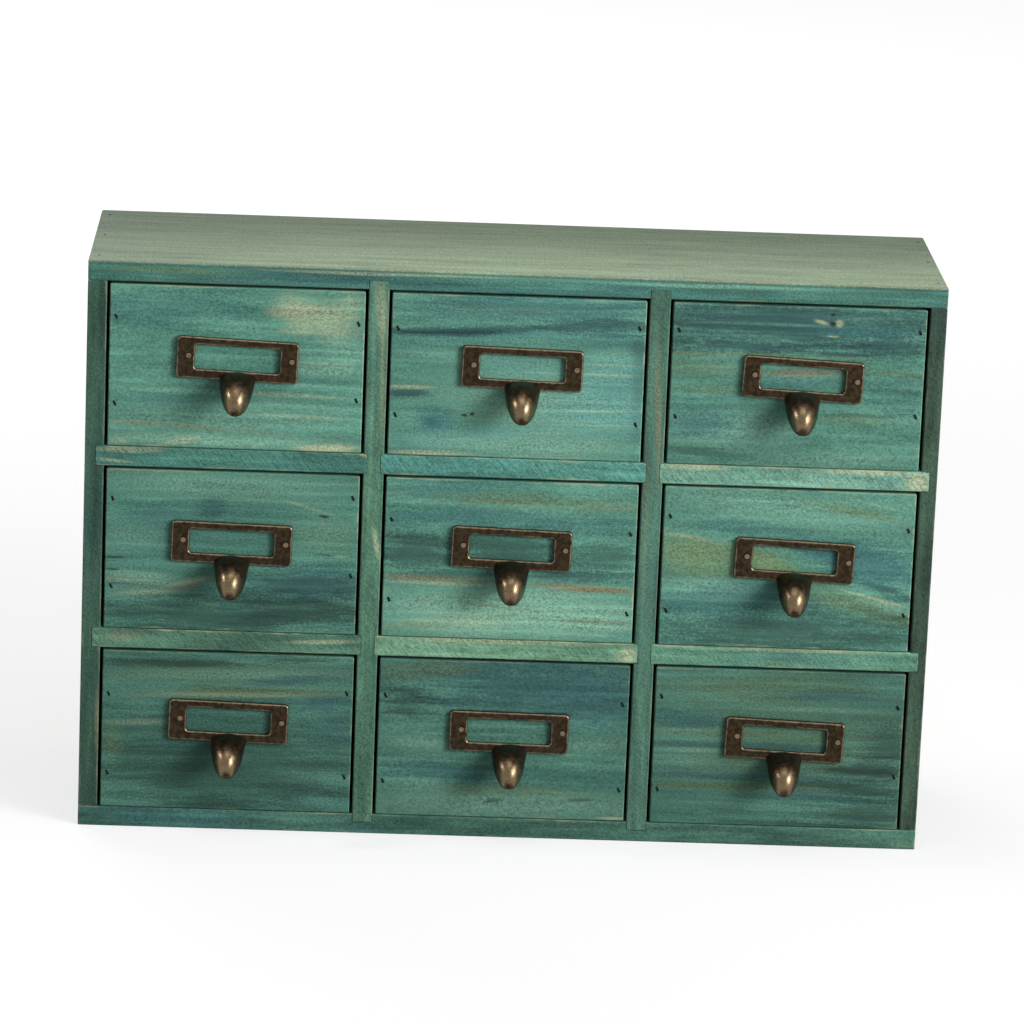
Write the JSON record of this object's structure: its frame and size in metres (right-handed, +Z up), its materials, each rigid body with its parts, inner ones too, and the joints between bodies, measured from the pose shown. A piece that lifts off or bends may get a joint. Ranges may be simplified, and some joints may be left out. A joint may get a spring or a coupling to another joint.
{
  "type": "desktop drawers",
  "caption": "Wooden desktop cabinet of small inset drawers in a water-stained finish, each with a stamped label-holder pull and finger tongue.",
  "frame": {"origin": "centre of the flat underside of the cabinet's bottom board", "axes": "+X to the right seen from the front, -Y out of the front, the way the drawers slide, +Z up"},
  "size_m": [0.335, 0.117, 0.23],
  "materials": {
    "stained_board": "teal-green water stain on softwood boards, worn pale on the edges, matt",
    "stained_front": "uneven teal, blue and green water stain on softwood, grain left to right, matt",
    "bare_wood": "unfinished planed softwood",
    "plywood": "unfinished thin plywood",
    "antique_bronze": "dark antique bronze, worn to copper and brass on the edges and the tongue",
    "steel_brad": "dull dark steel"
  },
  "bodies": {
    "cabinet": {"top_board": "stained_board", "bottom_board": "stained_board", "left_side": "stained_board", "right_side": "stained_board", "left_divider": "stained_board", "right_divider": "stained_board", "upper_left_shelf": "stained_board", "upper_centre_shelf": "stained_board", "upper_right_shelf": "stained_board", "lower_left_shelf": "stained_board", "lower_centre_shelf": "stained_board", "lower_right_shelf": "stained_board", "back_panel": "plywood", "cabinet_brads": "steel_brad"},
    "top_left_drawer": {"top_left_drawer_front": "stained_front", "top_left_drawer_walls": "bare_wood", "top_left_drawer_bottom": "plywood", "top_left_label_pull": "antique_bronze", "top_left_fasteners": "steel_brad"},
    "top_centre_drawer": {"top_centre_drawer_front": "stained_front", "top_centre_drawer_walls": "bare_wood", "top_centre_drawer_bottom": "plywood", "top_centre_label_pull": "antique_bronze", "top_centre_fasteners": "steel_brad"},
    "top_right_drawer": {"top_right_drawer_front": "stained_front", "top_right_drawer_walls": "bare_wood", "top_right_drawer_bottom": "plywood", "top_right_label_pull": "antique_bronze", "top_right_fasteners": "steel_brad"},
    "middle_left_drawer": {"middle_left_drawer_front": "stained_front", "middle_left_drawer_walls": "bare_wood", "middle_left_drawer_bottom": "plywood", "middle_left_label_pull": "antique_bronze", "middle_left_fasteners": "steel_brad"},
    "middle_centre_drawer": {"middle_centre_drawer_front": "stained_front", "middle_centre_drawer_walls": "bare_wood", "middle_centre_drawer_bottom": "plywood", "middle_centre_label_pull": "antique_bronze", "middle_centre_fasteners": "steel_brad"},
    "middle_right_drawer": {"middle_right_drawer_front": "stained_front", "middle_right_drawer_walls": "bare_wood", "middle_right_drawer_bottom": "plywood", "middle_right_label_pull": "antique_bronze", "middle_right_fasteners": "steel_brad"},
    "bottom_left_drawer": {"bottom_left_drawer_front": "stained_front", "bottom_left_drawer_walls": "bare_wood", "bottom_left_drawer_bottom": "plywood", "bottom_left_label_pull": "antique_bronze", "bottom_left_fasteners": "steel_brad"},
    "bottom_centre_drawer": {"bottom_centre_drawer_front": "stained_front", "bottom_centre_drawer_walls": "bare_wood", "bottom_centre_drawer_bottom": "plywood", "bottom_centre_label_pull": "antique_bronze", "bottom_centre_fasteners": "steel_brad"},
    "bottom_right_drawer": {"bottom_right_drawer_front": "stained_front", "bottom_right_drawer_walls": "bare_wood", "bottom_right_drawer_bottom": "plywood", "bottom_right_label_pull": "antique_bronze", "bottom_right_fasteners": "steel_brad"}
  },
  "joints": [
    {"name": "top_left_slide", "type": "slide", "parent": "cabinet", "child": "top_left_drawer", "axis": [0, -1, 0], "range_m": [0, 0.085]},
    {"name": "top_centre_slide", "type": "slide", "parent": "cabinet", "child": "top_centre_drawer", "axis": [0, -1, 0], "range_m": [0, 0.085]},
    {"name": "top_right_slide", "type": "slide", "parent": "cabinet", "child": "top_right_drawer", "axis": [0, -1, 0], "range_m": [0, 0.085]},
    {"name": "middle_left_slide", "type": "slide", "parent": "cabinet", "child": "middle_left_drawer", "axis": [0, -1, 0], "range_m": [0, 0.085]},
    {"name": "middle_centre_slide", "type": "slide", "parent": "cabinet", "child": "middle_centre_drawer", "axis": [0, -1, 0], "range_m": [0, 0.085]},
    {"name": "middle_right_slide", "type": "slide", "parent": "cabinet", "child": "middle_right_drawer", "axis": [0, -1, 0], "range_m": [0, 0.085]},
    {"name": "bottom_left_slide", "type": "slide", "parent": "cabinet", "child": "bottom_left_drawer", "axis": [0, -1, 0], "range_m": [0, 0.085]},
    {"name": "bottom_centre_slide", "type": "slide", "parent": "cabinet", "child": "bottom_centre_drawer", "axis": [0, -1, 0], "range_m": [0, 0.085]},
    {"name": "bottom_right_slide", "type": "slide", "parent": "cabinet", "child": "bottom_right_drawer", "axis": [0, -1, 0], "range_m": [0, 0.085]}
  ]
}
